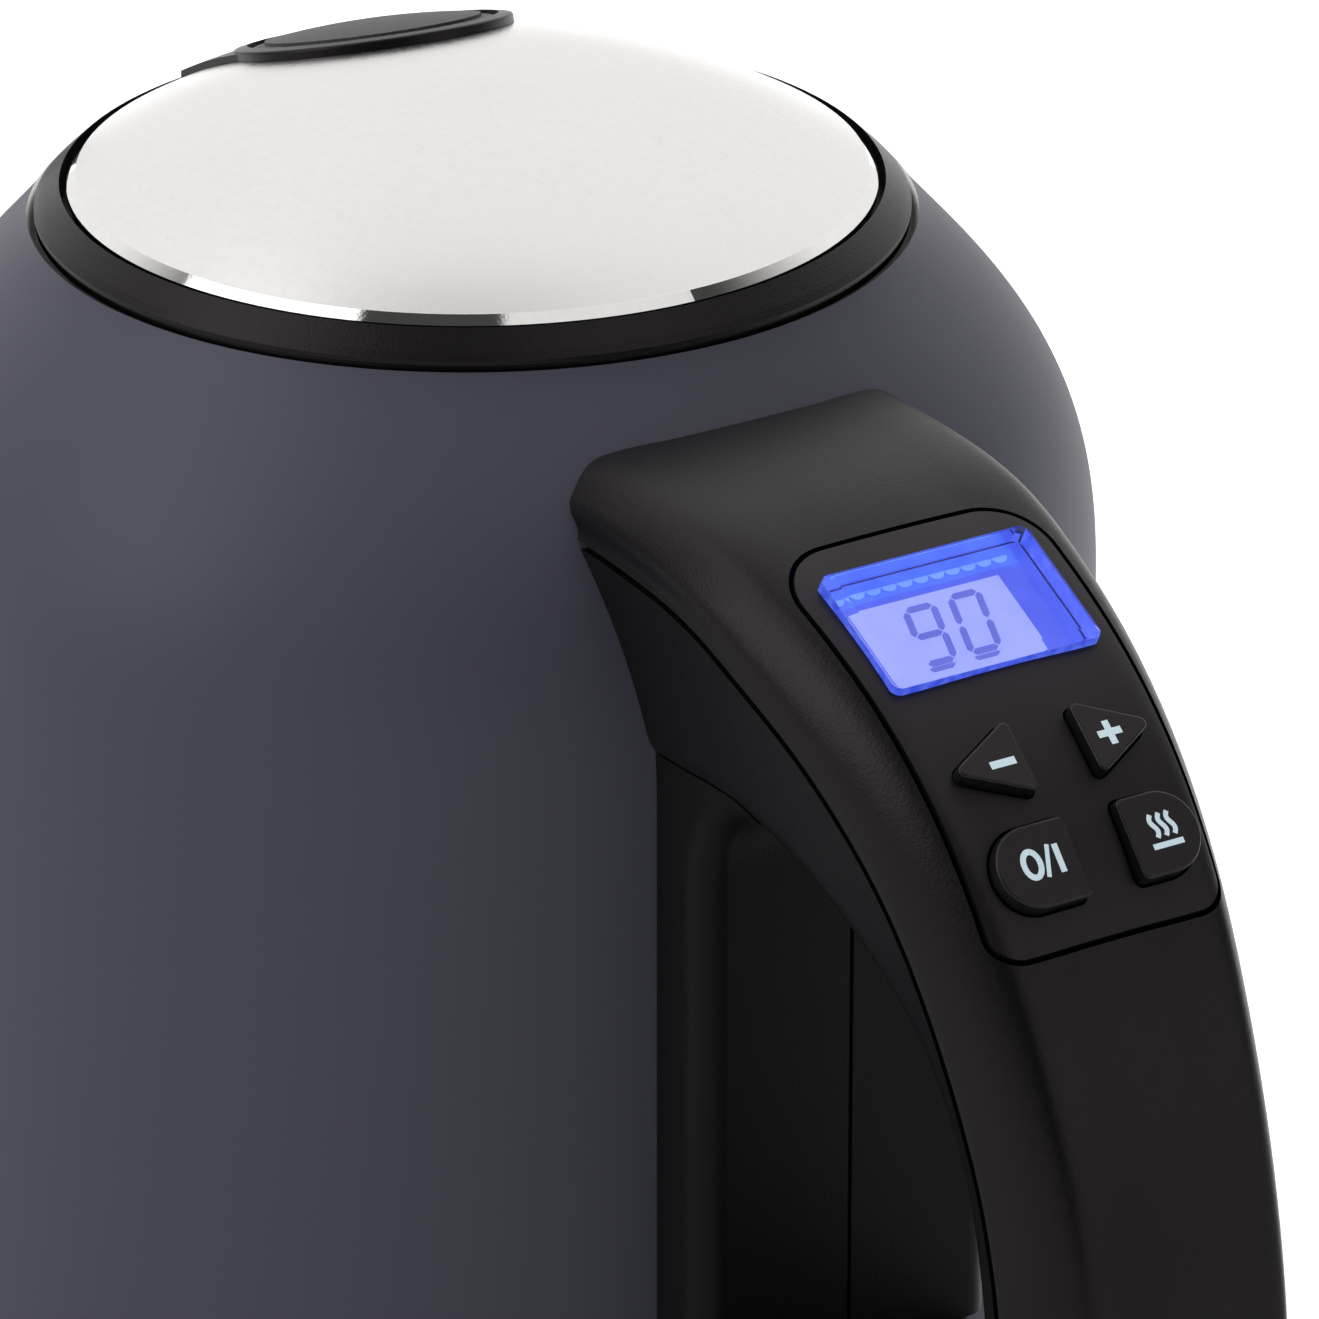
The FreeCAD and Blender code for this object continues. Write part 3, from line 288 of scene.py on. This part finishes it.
outer = [(69.84, 26.0), (69.84, 60.0), (69.84, 95.0)]
zr = -52.0
while zr < -4.0:
    outer.append((body_r(zr), 156 + zr))
    zr += 0.9
outer.append((body_r(-3.9), 156 - 3.9))
inner = [(r - 0.9, z - (0.45 if z > 130 else 0)) for r, z in reversed(outer)]
inner[-1] = (68.94, 26.0)
shell = lathe("body_shell_skin", outer + inner, paint, "kettle", 320, 40)
# bare steel on the inside
shell.data.materials.append(steel)
for p in shell.data.polygons:
    if p.normal.x * p.center.x + p.normal.y * p.center.y < 0:
        p.material_index = 1
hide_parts("body_shell")


# ------------------------------------------------------------------ local frames on the handle's face
def local(u, z, slope):
    s = math.radians(slope)
    o = Vector((u, 0, z)) * MM + Vector((0, 0, ZR))
    up = Vector((-math.cos(s), 0, math.sin(s)))
    n = Vector((math.sin(s), 0, math.cos(s)))
    return lambda x, y, h: o + Vector((0, 1, 0)) * (x * MM) + up * (y * MM) + n * (h * MM)


LENS = local(95.45, -18.25, 26.9)
TRI = local(111.6, -28.4, 39.5)
DEE = local(118.9, -36.1, 48.5)


def slab(name, outline, f, lo, hi, mat, body):
    n = len(outline)
    verts = [f(x, y, lo) for x, y in outline] + [f(x, y, hi) for x, y in outline]
    faces = [tuple(range(n - 1, -1, -1)), tuple(range(n, 2 * n))]
    faces += [(i, (i + 1) % n, n + (i + 1) % n, n + i) for i in range(n)]
    return add_mesh(name, verts, faces, mat, body)


def stroke(pts, w):
    """Outline of a line of width w along pts."""
    left, right = [], []
    for i, p in enumerate(pts):
        a = Vector(pts[max(i - 1, 0)])
        b = Vector(pts[min(i + 1, len(pts) - 1)])
        d = (b - a).normalized()
        nn = Vector((-d.y, d.x)) * (w / 2)
        left.append((p[0] + nn.x, p[1] + nn.y))
        right.append((p[0] - nn.x, p[1] - nn.y))
    return left + right[::-1]


def strip(name, pts, w, f, lo, hi, mat, body, closed=False):
    """Ribbon along pts made of quads, so that curved strokes stay clean."""
    verts, faces = [], []
    n = len(pts)
    for i, p in enumerate(pts):
        a = Vector(pts[(i - 1) % n] if closed else pts[max(i - 1, 0)])
        b = Vector(pts[(i + 1) % n] if closed else pts[min(i + 1, n - 1)])
        d = (b - a).normalized()
        nn = Vector((-d.y, d.x)) * (w / 2)
        for sgn in (1, -1):
            for h in (lo, hi):
                verts.append(f(p[0] + sgn * nn.x, p[1] + sgn * nn.y, h))
    last = n if closed else n - 1
    for i in range(last):
        a, b = i * 4, ((i + 1) % n) * 4
        faces += [(a + 1, b + 1, b + 3, a + 3), (a, a + 2, b + 2, b), (a, b, b + 1, a + 1), (a + 2, a + 3, b + 3, b + 2)]
    if not closed:
        faces += [(0, 1, 3, 2), (4 * n - 4, 4 * n - 2, 4 * n - 1, 4 * n - 3)]
    return add_mesh(name, verts, faces, mat, body)


def rect(x0, y0, x1, y1):
    return [(x0, y0), (x1, y0), (x1, y1), (x0, y1)]


# printed symbols on the keys, whose material adds a painted glow
KP = 1.40
slab("minus_sign", rect(-7.95, -0.78, -4.85, 0.08), TRI, KP - 0.02, KP + 0.03, icon_m, "minus_key")
slab("plus_sign_a", rect(5.7, -0.55, 8.6, 0.25), TRI, KP - 0.02, KP + 0.03, icon_m, "plus_key")
slab("plus_sign_b", rect(6.75, -1.55, 7.55, 1.25), TRI, KP - 0.02, KP + 0.029, icon_m, "plus_key")
ring = [(-7.95 + 0.98 * math.cos(2 * math.pi * k / 36), -0.75 + 1.42 * math.sin(2 * math.pi * k / 36)) for k in range(36)]
strip("power_zero", ring, 0.66, DEE, KP - 0.02, KP + 0.03, icon_m, "power_key", True)
strip("power_slash", [(-6.55, -2.45), (-5.45, 0.95)], 0.50, DEE, KP - 0.02, KP + 0.03, icon_m, "power_key")
slab("power_one", rect(-4.95, -2.35, -4.25, 0.80), DEE, KP - 0.02, KP + 0.03, icon_m, "power_key")
for i, x in enumerate((7.55, 8.62, 9.68)):
    wave = [(x + 0.28 * math.sin(2 * math.pi * t / 14), -1.55 + 2.55 * t / 14) for t in range(15)]
    strip("heat_wave_%d" % i, wave, 0.55, DEE, KP - 0.02, KP + 0.03, icon_m, "warm_key")
slab("heat_bar", rect(6.6, -2.75, 10.4, -2.12), DEE, KP - 0.02, KP + 0.03, icon_m, "warm_key")

# ------------------------------------------------------------------ display behind the lens
slab("lcd_field", rect(-12.9, -8.05, 12.9, 8.05), LENS, -2.69, -2.67, deep, "kettle")
slab("lcd_active", rect(-10.2, -6.9, 8.2, 4.5), LENS, -2.668, -2.66, lilac, "kettle")


def seg_digit(name, x, y, w, hgt, on, lean):
    th, g = 0.86, 0.10
    hh = hgt / 2

    def sk(px, py):
        return (x + px + lean * py, y + py)
    bars = {
        "a": ((g, hgt), (w - g, hgt)), "d": ((g, 0), (w - g, 0)), "g": ((g, hh), (w - g, hh)),
        "f": ((0, hgt - g), (0, hh + g)), "e": ((0, hh - g), (0, g)),
        "b": ((w, hgt - g), (w, hh + g)), "c": ((w, hh - g), (w, g))}
    for k in on:
        (ax, ay), (bx, by) = bars[k]
        d = Vector((bx - ax, by - ay))
        ln = d.length
        d.normalize()
        q = Vector((-d.y, d.x)) * (th / 2)
        t = th / 2
        pts = [Vector((ax, ay)), Vector((ax, ay)) + d * t + q, Vector((bx, by)) - d * t + q, Vector((bx, by)),
               Vector((bx, by)) - d * t - q, Vector((ax, ay)) + d * t - q]
        slab("%s_%s" % (name, k), [sk(p.x, p.y) for p in pts], LENS, -2.66, -2.645, digit, "kettle")


seg_digit("digit_tens", -6.10, -4.35, 3.45, 7.3, "abcdfg", 0.215)
seg_digit("digit_units", -0.45, -4.30, 3.45, 7.5, "abcdef", 0.23)

# walls of the lens with a painted blue glow: an open frame round its sides
a, b = 13.0, 8.15


def corner_path(a, b, r, steps=6):
    pts = []
    for cx, cy, s in ((a - r, b - r, 0), (r - a, b - r, 1), (r - a, r - b, 2), (a - r, r - b, 3)):
        for k in range(steps + 1):
            t = math.pi / 2 * (s + k / steps)
            pts.append((cx + r * math.cos(t), cy + r * math.sin(t)))
    return pts


loop = corner_path(a + 0.06, b + 0.06, 1.05)
far = [p for p in loop if p[1] > b - 0.4]
near = [p for p in loop if p[1] <= b - 0.3]
start = max(range(len(near)), key=lambda k: (near[k][0] < 0, near[k][1]))
near = near[start:] + near[:start]
strip("lens_light_frame", near, 0.06, LENS, -2.6, 0.62, rim_glow, "kettle")
strip("lens_light_far", far, 0.06, LENS, -2.6, -1.1, rim_glow, "kettle")
# light strip along the top edge, with its row of lamps
slab("lcd_strip", rect(-11.6, 5.3, 11.4, 7.9), LENS, -2.664, -2.62, mid_blue, "kettle")
for i in range(11):
    cx = -10.4 + 2.0 * i
    pts = [(cx + 0.95 * math.cos(math.pi + math.pi * k / 10), 6.7 + 0.8 * math.sin(math.pi + math.pi * k / 10)) for k in range(11)]
    slab("lcd_lamp_%02d" % i, pts, LENS, -2.62, -2.60, led, "kettle")

# ------------------------------------------------------------------ stage, light and camera
bpy.ops.mesh.primitive_plane_add(size=8, location=(0, 0, 0))
floor = bpy.context.object
floor.name = "floor"
fm = grain("floor_white", (0.78, 0.78, 0.78), (0.80, 0.80, 0.80), 0.75, 0.85, 40, spec=0.15, coarse=3)
ft = fm.node_tree
tc = ft.nodes.new("ShaderNodeTexCoord")


def floor_ramp(axis, lo, hi):
    d = ft.nodes.new("ShaderNodeVectorMath")
    d.operation = "DOT_PRODUCT"
    d.inputs[1].default_value = axis
    ft.links.new(tc.outputs["Object"], d.inputs[0])
    m = ft.nodes.new("ShaderNodeMapRange")
    m.interpolation_type = "SMOOTHSTEP"
    m.inputs["From Min"].default_value = lo
    m.inputs["From Max"].default_value = hi
    ft.links.new(d.outputs["Value"], m.inputs["Value"])
    return m.outputs["Result"]


def floor_math(op, a, b):
    m = ft.nodes.new("ShaderNodeMath")
    m.operation = op
    ft.links.new(a, m.inputs[0])
    if isinstance(b, float):
        m.inputs[1].default_value = b
    else:
        ft.links.new(b, m.inputs[1])
    return m.outputs[0]


# painted light on the floor: its emission makes it glow behind the object and beside its handle
lit = floor_math("MULTIPLY", floor_ramp((0.544, 0.839, 0.0), 0.040, 0.064), floor_ramp((-0.843, 0.538, 0.0), -0.03, 0.0))
lit = floor_math("MAXIMUM", lit, floor_ramp((-0.843, 0.538, 0.0), 0.10, 0.22))
lit = floor_math("MULTIPLY", lit, 0.9)
fb = ft.nodes["Principled BSDF"]
fb.inputs["Emission Color"].default_value = (1, 1, 1, 1)
ft.links.new(lit, fb.inputs["Emission Strength"])
floor.data.materials.append(fm)

# bright wall of light behind the object, dim room in front of it
world = bpy.data.worlds.new("studio")
scene.world = world
world.use_nodes = True
wt = world.node_tree
bg = wt.nodes["Background"]
bg.inputs["Color"].default_value = (1, 0.995, 0.985, 1)
wc = wt.nodes.new("ShaderNodeTexCoord")
wd = wt.nodes.new("ShaderNodeVectorMath")
wd.operation = "DOT_PRODUCT"
wd.inputs[1].default_value = (-0.720, 0.464, 0.515)
wt.links.new(wc.outputs["Generated"], wd.inputs[0])
wr = wt.nodes.new("ShaderNodeMapRange")
wr.interpolation_type = "SMOOTHSTEP"
wr.inputs["From Min"].default_value = 0.44
wr.inputs["From Max"].default_value = 0.72
wr.inputs["To Min"].default_value = WORLD_LOW
wr.inputs["To Max"].default_value = WORLD_HIGH
wt.links.new(wd.outputs["Value"], wr.inputs["Value"])
total = wr.outputs["Result"]
# two soft boxes overhead, which show in the polished edge of the lid, and a dim one beside the handle
for d, power, lo, hi in (((-0.266, -0.528, 0.804), 1.6, 0.940, 0.952), ((0.414, 0.205, 0.884), 0.8, 0.942, 0.954),
                         ((0.82, 0.48, 0.31), 0.85, 0.90, 0.985)):
    bd = wt.nodes.new("ShaderNodeVectorMath")
    bd.operation = "DOT_PRODUCT"
    bd.inputs[1].default_value = d
    wt.links.new(wc.outputs["Generated"], bd.inputs[0])
    br = wt.nodes.new("ShaderNodeMapRange")
    br.interpolation_type = "SMOOTHSTEP"
    br.inputs["From Min"].default_value = lo
    br.inputs["From Max"].default_value = hi
    br.inputs["To Max"].default_value = power
    wt.links.new(bd.outputs["Value"], br.inputs["Value"])
    ad = wt.nodes.new("ShaderNodeMath")
    ad.operation = "ADD"
    wt.links.new(total, ad.inputs[0])
    wt.links.new(br.outputs["Result"], ad.inputs[1])
    total = ad.outputs[0]
wt.links.new(total, bg.inputs["Strength"])


def area(name, loc, target, size, power, size_y=None, col=(1, 1, 1)):
    d = bpy.data.lights.new(name, "AREA")
    d.shape = "RECTANGLE"
    d.size = size
    d.size_y = size_y or size
    d.energy = power
    d.color = col
    o = bpy.data.objects.new(name, d)
    scene.collection.objects.link(o)
    o.location = loc
    o.rotation_euler = (Vector(target) - Vector(loc)).to_track_quat("-Z", "Y").to_euler()
    return o


area("left_soft", (-0.18, -1.30, 0.75), (0, 0, 0.10), 0.8, 5.3, 0.8)

back = Vector((0.7685, -0.4988, 0.4008))
right = Vector((0.5444, 0.8388, 0.0))
upv = back.cross(right)
cam_d = bpy.data.cameras.new("camera")
cam = bpy.data.objects.new("camera", cam_d)
scene.collection.objects.link(cam)
rot = Matrix((right, upv, back)).transposed().to_4x4()
cam.matrix_world = Matrix.Translation(Vector((0.8748, -0.5431, 0.3915 + ZR))) @ rot
cam_d.sensor_width = 36.0
cam_d.lens = 271.08
cam_d.clip_start = 0.05
cam_d.clip_end = 30
scene.camera = cam
scene.view_settings.view_transform = "Standard"
scene.view_settings.look = "None"
